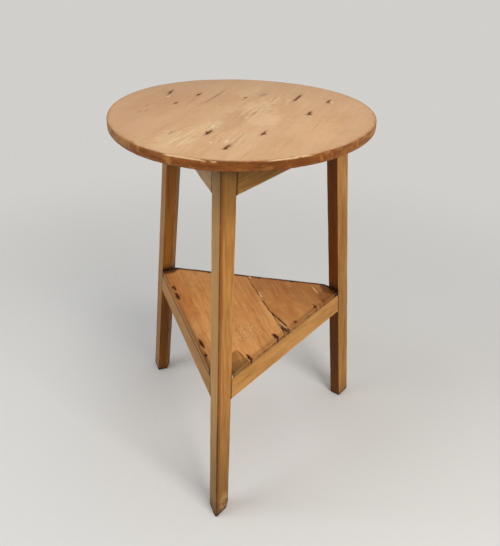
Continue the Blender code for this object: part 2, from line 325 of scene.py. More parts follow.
class Field:
    """Something that varies over a surface, on which sums can be done."""

    def __init__(self, socket):
        self.socket = socket

    def math(self, operation, *others, **settings):
        """A Math node with this field first."""
        return node(self.socket.id_data, "ShaderNodeMath", {"operation": operation, **settings},
                    dict(enumerate((self, *others))))

    def __add__(self, other):
        return self.math('ADD', other)

    def __mul__(self, other):
        return self.math('MULTIPLY', other)

    def __sub__(self, other):
        return self.math('SUBTRACT', other)

    def __rsub__(self, other):
        return (self * -1).math('ADD', other)

    def __truediv__(self, other):
        return self.math('DIVIDE', other)

    __radd__ = __add__
    __rmul__ = __mul__

    def ramp(self, low, high):
        """0 at one value and 1 at another, with a smooth rise between."""
        return node(self.socket.id_data, "ShaderNodeMapRange", {"interpolation_type": 'SMOOTHSTEP'},
                    {"Value": self, "From Min": low, "From Max": high})

    def most(self, *others):
        """The largest of some fields."""
        field = self
        for other in others:
            field = field.math('MAXIMUM', other)
        return field

    def vector(self, operation, *others, output=0):
        """A Vector Math node with this field first."""
        return node(self.socket.id_data, "ShaderNodeVectorMath", {"operation": operation},
                    dict(enumerate((self, *others))), output)

    def towards(self, direction):
        """How far a place lies along a direction."""
        return self.vector('DOT_PRODUCT', direction, output=1)

    def parts(self):
        """The three parts of a vector."""
        split = self.socket.id_data.nodes.new("ShaderNodeSeparateXYZ")
        feed(split.inputs[0], self)
        return [Field(socket) for socket in split.outputs]

    def stretched(self, across, along):
        """A place with its own scale across and along the grain."""
        return self.vector('MULTIPLY', (across, across, along))

    def speckle(self, scale=1, detail=3, rough=0.55):
        """Soft noise over a place, about 0.5 on average."""
        return node(self.socket.id_data, "ShaderNodeTexNoise", {},
                    {"Vector": self, "Scale": scale, "Detail": detail, "Roughness": rough})


def node(tree, kind, settings=None, values=None, output=0):
    """Adds any node: its settings first, then the values or links of its sockets."""
    made = tree.nodes.new(kind)
    for name, value in (settings or {}).items():
        setattr(made, name, value)
    for name, value in (values or {}).items():
        feed(made.inputs[name], value)
    return Field(made.outputs[output])


def new_material(name):
    """A new material, with its nodes and its shader."""
    material = bpy.data.materials.new(name)
    material.use_nodes = True
    return material, material.node_tree, material.node_tree.nodes["Principled BSDF"]


def blend(amount, first, second, how='MIX'):
    """Mixes two colours by an amount from 0 to 1."""
    return node(amount.socket.id_data, "ShaderNodeMix", {"data_type": 'RGBA', "blend_type": how},
                {0: amount, 6: first, 7: second}, 2)


class Wood:
    """Old pine: growth rings round a heart line, fibres, stains and worn arrises."""

    def __init__(self, name, heart, along, palette, ring, waver, figure, streaks, knots=(), level=0):
        self.material, self.tree, self.shader = new_material(name)
        self.level = level
        self.world = node(self.tree, "ShaderNodeTexCoord", output=3)
        self.height = self.world.parts()[2]
        self.arris = self.noted("arris")
        turn = along.to_track_quat('Z', 'Y').to_euler()
        self.board = node(self.tree, "ShaderNodeMapping", {"vector_type": 'TEXTURE'},
                          {"Vector": self.world, "Location": heart, "Rotation": turn})
        board = self.board
        across, deep, _ = board.parts()
        bend = board.stretched(14, 2.6).speckle(detail=2) - 0.5
        crinkle = board.stretched(90, 14).speckle(detail=2) - 0.5
        radius = (across * across + deep * deep).math('SQRT') + bend * (waver * 4) + crinkle * 0.0016
        for place, size, lift in knots:
            near = self.world.vector('DISTANCE', place, output=1).ramp(size, 0)
            radius = radius + near * lift
        growth = (radius / ring).math('FRACT')
        late = growth.ramp(0.30, 0.88) * (1 - growth.ramp(0.90, 1.0))
        years = board.stretched(30, 4).speckle(detail=2)
        self.fibre = board.stretched(620, 22).speckle(rough=0.6)
        self.streak = board.stretched(150, 9).speckle(rough=0.6)
        self.cloud = board.stretched(16, 6).speckle(detail=4)
        # Patchy noise that breaks up grime, wear, painted shade and painted highlight alike
        self.blotchiness = self.world.speckle(60, 5, 0.65)
        light, middle, dark = [paint(*tone) for tone in palette]
        self.colour = blend(self.cloud.ramp(0.32, 0.68), light, middle)
        self.colour = blend(late * years.ramp(0.25, 0.75) * (0.75 * figure), self.colour, dark)
        self.colour = blend(self.streak.ramp(0.48, 0.75) * (0.35 * streaks), self.colour, dark)
        self.colour = blend(self.fibre.ramp(0.52, 0.78) * (0.34 * streaks), self.colour, dark)
        self.colour = blend(self.fibre.ramp(0.45, 0.22) * (0.22 * streaks), self.colour, light)
        hue = self.world.speckle(26, 3)
        self.tint(hue.ramp(0.52, 0.68) * 0.25, (255, 226, 204), 'MULTIPLY')
        self.tint(hue.ramp(0.48, 0.32) * 0.22, (238, 244, 214), 'MULTIPLY')
        self.relief = late * 0.5 + self.fibre * 0.6
        self.rough = self.fibre * 0.12 + self.cloud * 0.12 + 0.42

    def noted(self, name):
        """A value that was noted on the piece."""
        return node(self.tree, "ShaderNodeAttribute", {"attribute_name": name}, output=2)

    def tint(self, amount, tone, how='MIX'):
        """Lays a tone over the wood where an amount says."""
        self.colour = blend(amount, self.colour, paint(*tone), how)

    def patch(self, place, along, length, width, edge=0.9):
        """1 inside a ragged oval and 0 outside it."""
        turn = along.to_track_quat('X', 'Z').to_euler()
        oval = node(self.tree, "ShaderNodeMapping", {"vector_type": 'TEXTURE'},
                    {"Vector": self.world, "Location": place, "Rotation": turn,
                     "Scale": (length / 2, width / 2, 0.02)})
        return (oval.vector('LENGTH', output=1) + (self.blotchiness - 0.5) * edge).ramp(1.2, 0.7)

    def mark(self, place, length, width, along, edge=0.9):
        """A patch on the upper face of a board, in millimetres."""
        return self.patch(spot(place, self.level), along, length / 1000, width / 1000, edge)

    def stain(self, dark, dark_strength, pale, pale_strength):
        """Long stains along the grain, some darker and some paler than the wood."""
        stains = self.board.stretched(46, 9).speckle(rough=0.6)
        self.tint(stains.ramp(0.50, 0.66) * dark_strength, dark)
        self.tint(stains.ramp(0.46, 0.30) * pale_strength, pale)

    def hollows(self, surface, floor, tone):
        """Darkens what is cut into a level surface: painted shade in its cracks and hollows."""
        inland = self.noted("inland").ramp(0.0006, 0.0016)
        below = self.height.ramp(surface - 0.0006, surface - 0.0022)
        above = self.height.ramp(floor, floor + 0.0005)
        self.tint(inland * below * above * 0.75, tone)

    def worn_arris(self, tone, reach, strength):
        """Rubs the arrises pale."""
        self.tint(self.arris.ramp(reach, reach * 0.15) * self.blotchiness.ramp(0.35, 0.6) * strength, tone)

    def done(self):
        """Joins everything to the shader."""
        bumped = node(self.tree, "ShaderNodeBump", {},
                      {"Strength": 0.6, "Distance": GRAIN_RELIEF, "Height": self.relief})
        feed(self.shader.inputs["Base Color"], self.colour)
        feed(self.shader.inputs["Roughness"], self.rough)
        feed(self.shader.inputs["Normal"], bumped)
        feed(self.shader.inputs["Specular IOR Level"], 0.15)
        return self.material


# Legs

LEG_TONES = {
    "front_leg": ((192, 136, 72), (174, 118, 58), (126, 76, 30)),
    "right_leg": ((178, 128, 68), (162, 112, 54), (122, 76, 32)),
    "left_leg": ((166, 118, 66), (150, 102, 52), (112, 70, 32)),
}
# The inner faces' darker tone: partly their own, partly painted shade of faces that look in under the table
LEG_INNER_TONES = {
    "front_leg": (124, 78, 36),
    "right_leg": (90, 42, 8),
    "left_leg": (146, 94, 40),
}
# The inner faces again below the shelf, as painted shade of the shelf
LEG_SHELF_SHADE_TONES = {
    "front_leg": (96, 56, 2),
    "right_leg": (92, 52, 0),
    "left_leg": (122, 70, 6),
}
GRIME = (62, 38, 20)
# How far the grain of a leg leans inwards, as a share of its box's corners
GRAIN_LEAN = 0.16

# Where the legs' arrises are, for the grime in the joints round them
leg_arrises = []

# The front leg's foremost arris, from the floor to its head
FRONT_ARRIS = (Vector((-0.0515, -0.2711, 0)), Vector((-0.0424, -0.1932, 0.7115)))


def note_front_arris(leg):
    """Notes which side of the front arris each point lies on, and how far away."""
    def signed_distance(place):
        """How far a point lies from the arris, below zero on its left."""
        offset = offset_from(place, FRONT_ARRIS)
        return offset.length if offset.dot(heading(-9)) > 0 else -offset.length

    note(leg, "from_front_arris", signed_distance)
    note_faces(leg, "front_left", lambda normal: normal.dot(FACING["front_left"]) > 0.9)


def tint_front_leg(wood):
    """The front leg's paler left side, partly painted light, its dark front arris and lower arrises, and
    painted shade at its head and below the shelf.
    """
    left = wood.noted("front_left")
    from_arris = wood.noted("from_front_arris")
    arris = from_arris.math('ABSOLUTE')
    # The paler, greyer left side: partly its own tone, partly painted light from the left
    wood.tint(left * 0.46, (192, 150, 94))
    band = from_arris.ramp(0, 0.002) * from_arris.ramp(0.012, 0.005)
    wood.tint(band * wood.height.ramp(-0.10, 0.25) * 0.75, (132, 68, 16))
    wood.tint(arris.ramp(0.0032, 0.0008) * wood.blotchiness.ramp(0.2, 0.5) * 0.85, (86, 44, 12))
    # Painted shadow along the head of the front arris, under the top
    head_shadow = from_arris.ramp(-0.0012, 0) * from_arris.ramp(0.0045, 0.0015)
    wood.tint(head_shadow * wood.height.ramp(0.665, 0.695) * 0.8, (52, 28, 8))
    # Painted shade under the top's overhang, at the head of the leg
    wood.tint(wood.height.ramp(0.56, 0.70) * (0.66 - left * 0.14), (76, 56, 24))
    # Painted shade below the shelf, darkest towards the foot
    wood.tint(wood.height.ramp(0.30, 0.05) * 0.66, (112, 82, 38))
    wood.tint(band * wood.height.ramp(0.32, 0.18) * 0.6, (124, 66, 10))
    low_arris = arris.ramp(0.0046, 0.0014) * wood.height.ramp(0.30, 0.18)
    wood.tint(low_arris * wood.blotchiness.ramp(0.26, 0.46) * 0.88, (66, 32, 2))
    outer = wood.arris.ramp(0.0034, 0.0008) * wood.height.ramp(0.32, 0.10)
    wood.tint(outer * wood.blotchiness.ramp(0.3, 0.5) * 0.65, (84, 56, 26))


def leg_wood(name, heart, lean):
    """The wood of a leg: dark inner faces, partly painted shade, grime at its joints, painted shade under the
    top and by the shelf, and a darker foot.
    """
    wood = Wood(name + "_wood", heart, lean, LEG_TONES[name], ring=0.0028, waver=0.002, figure=0.35,
                streaks=1.9)
    inner = wood.noted("inner")
    wood.stain((118, 72, 30), 0.30, (210, 160, 98), 0.22)
    # Inner faces darker, partly as painted shade; below the shelf, painted shade of the shelf
    wood.tint(inner * 0.92, LEG_INNER_TONES[name])
    wood.tint(inner * wood.height.ramp(0.28, 0.20) * 0.65, LEG_SHELF_SHADE_TONES[name])
    wood.tint(wood.streak.ramp(0.4, 0.7) * inner * 0.4, GRIME)
    wood.worn_arris((206, 160, 104), 0.0020, 0.35)
    by_frieze = wood.height.ramp(FRIEZE_FLOOR - 0.002, FRIEZE_FLOOR + 0.002)
    by_shelf_rail = wood.height.ramp(SHELF_RAIL_FLOOR - 0.002, SHELF_RAIL_FLOOR + 0.002)
    by_rails = by_frieze.most(by_shelf_rail * wood.height.ramp(SHELF_HEIGHT + 0.002, SHELF_HEIGHT))
    faint = 1 - wood.noted("front_left") * 0.6 if name == "front_leg" else 1
    wood.tint(wood.arris.ramp(0.0030, 0.0008) * by_rails * wood.blotchiness.ramp(0.25, 0.5) * 0.6 * faint, GRIME)
    # Grime and painted shade on the inner faces just above the shelf, darkest where they meet it
    by_shelf = wood.height.ramp(SHELF_HEIGHT + 0.024, SHELF_HEIGHT + 0.003)
    by_shelf = by_shelf * wood.height.ramp(SHELF_HEIGHT - 0.004, SHELF_HEIGHT) * inner
    wood.tint(by_shelf * wood.blotchiness.ramp(0.2, 0.5) * 0.75, GRIME)
    wood.tint(by_shelf * wood.height.ramp(SHELF_HEIGHT + 0.012, SHELF_HEIGHT + 0.002) * 0.8, (34, 15, 5))
    if name == "front_leg":
        tint_front_leg(wood)
    else:
        # Painted shade under the top's overhang, at the head of the leg
        wood.tint(wood.height.ramp(0.60, 0.70) * 0.30, (96, 66, 38))
    if name == "left_leg":
        # Painted shade of the shelf on the left leg's low part
        wood.tint(wood.height.ramp(0.34, 0.14) * 0.18, (84, 54, 30))
    wood.tint(wood.height.ramp(0.05, 0.0) * 0.5 * wood.blotchiness.ramp(0.3, 0.6), (96, 62, 34))
    if name == "front_leg":
        wood.tint(wood.height.ramp(0.045, 0.004) * 0.55, (92, 56, 24))
        worn = wood.patch(Vector((-0.0350, -0.2480, 0.020)), UP, 0.060, 0.036, 2.6)
        wood.tint(worn * wood.blotchiness.ramp(0.40, 0.62) * 0.5, (200, 162, 112))
    # Darker along the very bottom of the foot
    wood.tint(wood.height.ramp(0.009, 0.002) * wood.blotchiness.ramp(0.2, 0.4) * 0.88, (44, 26, 12))
    return wood


def make_leg(name, heart, seed, flats=(), nicks=()):
    """A leg with its arrises rubbed round, its foot worn and its inner faces dark."""
    low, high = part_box(name)
    lean = Vector(((low.x + high.x) * -GRAIN_LEAN, (low.y + high.y) * -GRAIN_LEAN, high.z)).normalized()
    bm = merged_copy(name)
    for place, facing in flats:
        plane_off(bm, place, facing)
    lines = soften(bm, arrises_of(bm, shortest=0.2), width=0.0006)
    comb(bm, (UP, 0.007), (Vector((1, 0, 0)), 0.006), (Vector((0, 1, 0)), 0.006))
    wear(bm, lines, depth=0.0005, waviness=0.0002, seed=seed)
    leg = piece_from(bm, name, leg_wood(name, heart, lean).done())
    if nicks:
        carve(leg, nicks)
    finish_surface(leg, lines, [FACING[side] for side in LEG_SIDES[name]])
    if name == "front_leg":
        note_front_arris(leg)
    leg_arrises.extend(lines)


# Rails

RAIL_TONES = {
    "frieze_rail_front_right": ((150, 108, 54), (134, 94, 44), (96, 62, 28)),
    "frieze_rail_back": ((160, 116, 58), (143, 101, 48), (104, 68, 30)),
    "frieze_rail_front_left": ((182, 142, 98), (168, 129, 86), (126, 89, 56)),
    "shelf_rail_front_right": ((200, 146, 82), (184, 128, 66), (142, 92, 42)),
    "shelf_rail_back": ((176, 126, 70), (160, 112, 58), (120, 78, 36)),
    "shelf_rail_front_left": ((176, 126, 70), (162, 112, 58), (122, 78, 36)),
}
# How dark the joint under the shelf boards is
SHELF_JOINT_GRIME = {"shelf_rail_front_right": 0.3, "shelf_rail_back": 0.5, "shelf_rail_front_left": 0.85}


def make_rail(name, side, heart, seed, splits=()):
    """A rail with softened long arrises and grime along the shelf boards that lie on it."""
    along = UP.cross(FACING[side])
    bm = merged_copy(name)
    lines = soften(bm, arrises_of(bm, shortest=0.15), width=0.0007)
    comb(bm, (along, 0.007), (UP, 0.005))
    wear(bm, lines, depth=0.0005, waviness=0.0002, seed=seed)
    wood = Wood(name + "_wood", heart, along, RAIL_TONES[name], ring=0.0030, waver=0.003, figure=0.5,
                streaks=1.7)
    wood.stain((128, 84, 40), 0.25, (216, 168, 108), 0.20)
    wood.worn_arris((222, 182, 124), 0.0022, 0.45)
    if name in SHELF_JOINT_GRIME:
        under_board = wood.height.ramp(SHELF_HEIGHT - 0.0145, SHELF_HEIGHT - 0.0105)
        wood.tint(under_board * wood.blotchiness.ramp(0.25, 0.5) * SHELF_JOINT_GRIME[name], GRIME)
    wood.tint(wood.noted("seam").ramp(0.0040, 0.0008) * wood.blotchiness.ramp(0.2, 0.5) * 0.75, GRIME)
    rail = piece_from(bm, name, wood.done())
    if splits:
        carve(rail, splits)
    finish_surface(rail, lines)
    note(rail, "seam", lambda place: nearest(place, leg_arrises))


# The top

TOP_ACROSS = UP.cross(TOP_GRAIN)
# Where the joint of the top's boards lies across the grain
TOP_JOINT = reach_of("top_board_wide", TOP_ACROSS)
TOP_TONES = ((226, 182, 138), (216, 169, 124), (182, 130, 88))

# How deep the cutter of the darkest hollow goes, from its middle
TOP_HOLLOW = 0.0018
# Marks on the top, in millimetres: middle, length and width, and how dark, where
# those over 0.6 are hollows too
TOP_MARKS = (
    ((-155, 170), 24, 5, 1.0), ((-158, 150), 18, 4, 0.8), ((-98, 150), 22, 4.5, 0.9),
    ((-139, 91), 16, 4, 0.8), ((-6, 129), 32, 3, 0.4), ((97, 138), 56, 5.5, 0.9),
    ((156, 118), 24, 5, 0.9), ((113, 41), 26, 6, 1.0), ((9, 30), 30, 3, 0.3),
    ((26, -75), 26, 5, 1.0), ((-67, -75), 30, 6, 1.0), ((-34, -144), 28, 6, 0.9),
    ((-191, 72), 14, 4, 0.3), ((-200, 34), 14, 4, 0.3), ((-131, -80), 18, 5, 0.35),
)
# Pale chips, broad stains with their tone and strength, and places that are scuffed along the grain
TOP_CHIPS = (
    ((-157, 135), 9, 6), ((161, 110), 16, 6), ((-61, -41), 18, 5), ((-61, -124), 6, 5),
    ((-35, -117), 22, 3),
)
TOP_PATCHES = (
    ((-31, -15), 120, 56, (186, 136, 92), 0.35), ((21, 75), 70, 60, (236, 198, 152), 0.45),
    ((26, 5), 90, 60, (238, 196, 152), 0.55), ((-63, -39), 70, 30, (238, 200, 156), 0.4),
    ((-119, -105), 100, 70, (234, 196, 150), 0.45), ((30, 157), 34, 14, (146, 118, 100), 0.4),
    ((119, -59), 130, 90, (232, 184, 136), 0.4), ((-40, 120), 90, 60, (196, 146, 104), 0.35),
)
TOP_SCUFFS = (
    ((-30, -105), 74, 62), ((56, 118), 84, 64), ((-60, -40), 60, 30), ((-110, -110), 90, 50),
    ((0, 30), 80, 60),
)
# Fine scratches on the top, in millimetres: middle, length, width, direction and tone
TOP_SCRATCHES = (
    ((-187, 44), 22, 3, 66, (120, 84, 58)), ((-166, 164), 18, 3, 30, (120, 84, 58)),
    ((-35, -97), 44, 2.4, 66, (232, 192, 146)), ((-21, -120), 46, 2.2, 70, (134, 96, 66)),
    ((-46, -112), 30, 2.0, 72, (134, 96, 66)), ((-8, -96), 40, 2.0, 64, (236, 198, 152)),
    ((27, 155), 16, 3, 20, (118, 90, 74)), ((62, 128), 34, 2.0, 96, (232, 196, 152)),
    ((46, 124), 34, 2.0, 112, (232, 196, 152)), ((74, 118), 34, 2.0, 76, (232, 196, 152)),
    ((-118, -62), 60, 2.2, 58, (142, 102, 72)), ((-76, -160), 34, 3, 64, (236, 198, 150)),
    ((70, -110), 70, 2.0, 66, (180, 134, 98)), ((120, -30), 60, 2.0, 70, (180, 134, 98)),
    ((-110, 100), 70, 2.0, 68, (150, 108, 76)), ((0, -170), 60, 2.2, 66, (176, 128, 90)),
)


def top_wood(name, heart, marks):
    """The wood of the top, with its stains, scuffs and scratches and the dark nail marks."""
    wood = Wood(name + "_wood", heart, TOP_GRAIN, TOP_TONES, ring=0.0042, waver=0.008, figure=0.22,
                streaks=0.4, level=TOP_HEIGHT)
    mottle = wood.world.speckle(11, 5, 0.6)
    wood.tint(mottle.ramp(0.50, 0.72) * 0.30, (238, 198, 152))
    wood.tint(mottle.ramp(0.46, 0.28) * 0.30, (196, 146, 102))
    for side, near, far, strength, tone in ((TOP_ACROSS, 0.04, 0.22, 0.45, (188, 138, 102)),
                                            (heading(-22), 0.04, 0.22, 0.30, (196, 146, 106)),
                                            (heading(90), 0.06, 0.26, 0.30, (182, 146, 116))):
        wood.tint(wood.world.towards(side).ramp(near, far) * strength, tone)
    for place, length, width, tone, strength in TOP_PATCHES:
        wood.tint(wood.mark(place, length, width, TOP_GRAIN, 2.4) * strength, tone)
    strokes = wood.fibre.ramp(0.60, 0.70) * mottle.ramp(0.42, 0.55)
    wood.tint(strokes * 0.22, (146, 100, 66))
    scuffs = wood.board.stretched(300, 14).speckle(detail=2, rough=0.7)
    for place, length, width in TOP_SCUFFS:
        area = wood.mark(place, length, width, TOP_GRAIN, 1.2)
        wood.tint(area * scuffs.ramp(0.54, 0.62) * 0.5, (244, 210, 164))
        wood.tint(area * scuffs.ramp(0.46, 0.38) * 0.35, (160, 114, 80))
    for place, length, width, angle, tone in TOP_SCRATCHES:
        wood.tint(wood.mark(place, length, width, heading(angle), 0.7) * 0.45, tone)
    for place, length, width, strength in marks:
        around = wood.mark(place, length * 1.5, width * 2.4, TOP_GRAIN)
        wood.tint(around * 0.22 * strength, (140, 98, 72))
        wood.tint(wood.mark(place, length, width, TOP_GRAIN) * 0.85 * strength, (82, 60, 52))
    for place, length, width in TOP_CHIPS:
        wood.tint(wood.mark(place, length, width, TOP_GRAIN) * 0.8, (244, 214, 174))
    seam = wood.mark((-64.5, 139.5), 112, 3, TOP_GRAIN, 0.5)
    wood.tint(seam * 0.6, (104, 74, 54))
    tint_rim(wood)
    wood.tint(wood.height.ramp(TOP_FLOOR + 0.0012, TOP_FLOOR + 0.0004) * 0.8, (128, 94, 62))
    return wood


def make_top_board(name, heart, seed, is_here):
    """A board of the round top, with the hollows round its nails."""
    bm = merged_copy(name)
    rim = [edge for edge in arrises_of(bm, shortest=0.012)
           if abs(middle_of(edge).dot(TOP_ACROSS) - TOP_JOINT) > 0.002]
    lines = soften(bm, rim, width=0.0006, segments=2)
    comb(bm, (TOP_GRAIN, 0.009), (TOP_ACROSS, 0.009), (UP, 0.004))
    wear(bm, lines, depth=0.0006, waviness=0.0002, seed=seed)
    marks = [mark for mark in TOP_MARKS if is_here(spot(mark[0], 0))]
    board = piece_from(bm, name, top_wood(name, heart, marks).done())
    carve(board, [gouge(spot(place, TOP_HEIGHT + HOLLOW_LIFT), TOP_GRAIN, UP, length * 0.9 / 1000,
                        width * 0.9 / 1000, TOP_HOLLOW * strength, index)
                  for index, (place, length, width, strength) in enumerate(marks) if strength > 0.6])
    finish_surface(board, lines)


def facing_rim(wood, degrees, outer, inner):
    """1 along the stretch of the top's rim that looks one way, and 0 elsewhere."""
    reach = reach_of("top_board_wide", heading(degrees))
    return wood.world.towards(heading(degrees)).ramp(reach - outer, reach - inner)


def tint_rim(wood):
    """The dark rim of the top, paler on its right, with two pale lines in front, rubbed wear and partly a
    painted highlight, and chips in front.
    """
    around = wood.world.stretched(24, 160).speckle(detail=5, rough=0.65)
    blotches = wood.world.speckle(38, 4, 0.6)
    tone = blend(wood.world.towards(heading(-22)).ramp(0.165, 0.235), paint(126, 68, 16), paint(162, 106, 54))
    tone = blend(wood.world.towards(heading(200)).ramp(0.212, 0.240), tone, paint(160, 110, 68))
    tone = blend(around.ramp(0.42, 0.62) * 0.65, tone, paint(88, 42, 8))
    tone = blend(blotches.ramp(0.52, 0.64) * 0.6, tone, paint(180, 120, 56))
    wood.colour = blend(wood.height.ramp(TOP_HEIGHT - 0.0001, TOP_HEIGHT - 0.0012) * 0.96, wood.colour, tone)
    edge = wood.arris.ramp(0.0036, 0.0014) * wood.height.ramp(TOP_HEIGHT - 0.005, TOP_HEIGHT - 0.002)
    wood.tint(wood.arris.ramp(0.0060, 0.0010) * wood.blotchiness.ramp(0.40, 0.60) * 0.45, (150, 96, 52))
    wood.tint(edge * wood.blotchiness.ramp(0.54, 0.66) * 0.4, (220, 176, 124))
    front = facing_rim(wood, -70, 0.0062, 0.0030)
    wood.tint(front * wood.height.ramp(TOP_HEIGHT - 0.0015, TOP_HEIGHT - 0.0045) * 0.35, (84, 40, 8))
    line = wood.arris.ramp(0.0020, 0.0008) * wood.height.ramp(TOP_HEIGHT - 0.003, TOP_HEIGHT - 0.001)
    wood.tint(edge * facing_rim(wood, -97, 0.0080, 0.0040) * (1 - front) * 0.6, (116, 72, 36))
    # The pale lines along the near top arris: rubbed wear, and partly a painted highlight
    for degrees, strength in ((-68, 0.65), (-111, 0.6)):
        there = facing_rim(wood, degrees, 0.0045, 0.0025) * wood.blotchiness.ramp(0.30, 0.46)
        wood.tint(line * there * strength, (246, 208, 156))
    chipped = facing_rim(wood, -97, 0.0016, 0.0008) * wood.world.speckle(120, 2).ramp(0.56, 0.62)
    wood.tint(edge * chipped * 0.55, (236, 196, 146))


# The shelf

SHELF_ACROSS = UP.cross(SHELF_GRAIN)
# Where the joint of the shelf's boards lies across the grain
SHELF_JOINT = reach_of("shelf_board_right", SHELF_ACROSS)
SHELF_TONES = {
    "shelf_board_wide": ((236, 167, 100), (220, 148, 83), (164, 97, 46)),
    "shelf_board_right": ((208, 144, 82), (188, 120, 62), (142, 84, 36)),
    "shelf_corner_patch": ((184, 124, 66), (166, 108, 54), (124, 76, 34)),
}
HOLLOW = (52, 30, 16)
SHELF_HOLLOW = 0.0024

# All places and sizes on the shelf are in millimetres, and directions in degrees.
# Nail hollows and slots: middle, length, width, direction, how dark they are and their tone
SHELF_MARKS = (
    ((9.5, -150), 22, 5, 117, 1.0, HOLLOW), ((13.5, -163), 18, 5, 86, 0.9, HOLLOW),
    ((62, -79), 20, 8, 130, 1.0, HOLLOW), ((67, -93), 22, 5.5, 97, 0.9, HOLLOW),
    ((150, 33), 16, 4, 120, 0.8, HOLLOW), ((153, 17), 20, 3.5, 92, 0.7, HOLLOW),
    ((-157, 97), 24, 5, 110, 0.9, (84, 34, 10)), ((-147.6, 65), 36, 6.5, 111, 1.0, (80, 32, 10)),
    ((-84.8, -108), 36, 6.5, 113, 0.9, (82, 38, 14)), ((-74.5, -146), 22, 4.5, 101, 0.6, (100, 56, 28)),
    ((30, 149), 14, 5, 109, 0.6, HOLLOW), ((106, 134), 12, 5, 109, 0.6, HOLLOW),
    ((171, 52), 22, 6, 96, 0.6, (112, 60, 22)), ((166, 33), 18, 5, 125, 0.6, (104, 56, 22)),
)
# A long split in the right board that starts at the joint, and short ones beside it:
# the places that they go through, their width and their depth
SHELF_SPLITS = (
    (((52, 18), (57.5, 5), (63.2, -8.8), (73.2, -22.2), (83, -35.8), (90, -49)), 3.2, 5.0),
    (((70, -31), (76.1, -46), (82, -56), (86, -63)), 4.0, 5.0),
    (((95, -52), (92, -61), (89.5, -70)), 3.4, 4.0),
    (((78.4, -45), (78.4, -58), (79.5, -67)), 2.6, 3.0),
)
# Torn and dirty places beside the split: middle, length, width, direction and tone
SPLIT_STAINS = (
    ((61, -2), 26, 4.5, 118, (84, 50, 26)), ((72, -20), 26, 5, 118, (76, 44, 22)),
    ((81, -36), 26, 5.5, 118, (70, 42, 20)), ((80, -52), 30, 10, 118, (74, 48, 26)),
    ((90, -58), 20, 8, 128, (66, 42, 20)), ((70, -36), 30, 2.6, 112, (228, 188, 136)),
    ((76, -38), 26, 2.2, 116, (214, 166, 112)), ((84, -50), 14, 2, 120, (206, 160, 108)),
    ((91, -68), 16, 5, 109, (82, 50, 24)),
)
# Where the right board's corner has broken away beside the right leg:
# middle, length, width, depth and direction
CORNER_BREAKS = (
    ((199, 110), 28, 13, 12, 62), ((205, 97), 22, 10, 12, 100), ((188, 122), 24, 7, 8, 148),
)
# Torn pale fibres: middle, length, width and direction
PALE_FIBRES = (
    ((31.9, 82), 12, 5, 112), ((33.9, 71), 14, 6, 112), ((37, 57), 11, 5, 112), ((58, -8), 26, 2.5, 113),
    ((80, -40), 20, 2, 122), ((156, 98), 34, 3, 112), ((11, 150), 12, 3, 112),
)
# Knots under the wide board's curling figure: place, reach and how far they push the rings
KNOTS = (
    ((-8.5, -69), 17, 10), ((10, -56), 14, -9), ((-11, -90), 13, 6), ((19, -71), 12, 6),
)
# Broad shades: board, middle, length, width, direction, how ragged, how strong and tone
SHELF_SHADES = (
    ("shelf_board_right", (150, 75), 170, 90, 130, 1.8, 0.30, (150, 92, 50)),
    ("shelf_board_right", (60, 118), 100, 50, 160, 1.6, 0.30, (166, 100, 58)),
    ("shelf_board_right", (176, 66), 60, 35, 112, 2.2, 0.45, (116, 68, 32)),
    ("shelf_board_wide", (-140, 60), 200, 50, 109.2, 1.8, 0.35, (190, 104, 48)),
)
# Painted shadow in the shelf's corners round the legs: the middle of each and how far it reaches
LEG_SHADOW_CORNERS = (((208.2, 115.8), 43), ((-186, 191), 36), ((-44.5, -212), 36))


def shelf_wood(name, heart, seed, marks):
    """The wood of a shelf board, with its stains and its dark nail hollows."""
    knots = ()
    if name == "shelf_board_wide":
        knots = [(spot(place, SHELF_HEIGHT), reach / 1000, lift / 1000) for place, reach, lift in KNOTS]
    plain = 0.55 if name == "shelf_board_right" else 1
    wood = Wood(name + "_wood", heart, SHELF_GRAIN, SHELF_TONES[name], ring=0.0036, waver=0.008,
                figure=0.40 * plain, streaks=1.2 * plain, knots=knots, level=SHELF_HEIGHT)
    mottle = wood.world.vector('ADD', (0, seed, 0)).speckle(30, 4, 0.6)
    wood.tint(mottle.ramp(0.52, 0.68) * 0.30, (226, 152, 86))
    wood.tint(mottle.ramp(0.48, 0.32) * 0.30, (176, 100, 50))
    wood.tint(wood.streak.ramp(0.50, 0.30) * 0.45, (236, 176, 108))
    dashes = wood.world.vector('ADD', (0, 0, seed)).speckle(9, 3)
    wood.tint(wood.fibre.ramp(0.54, 0.64) * dashes.ramp(0.42, 0.56) * (0.45 * plain), (146, 84, 38))
    wood.tint(wood.world.towards(heading(90)).ramp(0.02, 0.16) * 0.35, (160, 108, 60))
    stain_shelf(wood, name)
    for place, length, width, angle, strength, tone in marks:
        halo = wood.mark(place, length * 1.3, width * 1.8, heading(angle), 1.6)
        wood.tint(halo * 0.35 * strength, (140, 72, 32))
        wood.tint(wood.mark(place, length, width, heading(angle)) * 0.95 * strength, tone)
    for place, length, width, angle in PALE_FIBRES:
        fibres = wood.mark(place, length, width, heading(angle), 1.3)
        wood.tint(fibres * 0.75, (240, 196, 138))
    for place, length, width, angle, tone in SPLIT_STAINS:
        torn = wood.mark(place, length, width, heading(angle), 1.1)
        wood.tint(torn * 0.8, tone)
    if name == "shelf_board_wide":
        curl = (wood.world.speckle(46, 1) * 13).math('FRACT')
        swirl = wood.mark((2, -70), 62, 46, heading(60), 1.6)
        wood.tint(swirl * curl.ramp(0.55, 0.75) * 0.55, (242, 188, 124))
        wood.tint(swirl * curl.ramp(0.22, 0.36) * curl.ramp(0.52, 0.38) * 0.6, (144, 84, 40))
    if name == "shelf_board_right":
        wood.tint(wood.mark((104.2, -27), 8, 5, SHELF_GRAIN), (142, 40, 24))
    # Painted shade in the cracks and hollows
    wood.hollows(SHELF_HEIGHT, SHELF_FLOOR, (58, 28, 12))
    wood.worn_arris((226, 176, 116), 0.0022, 0.25)
    return wood


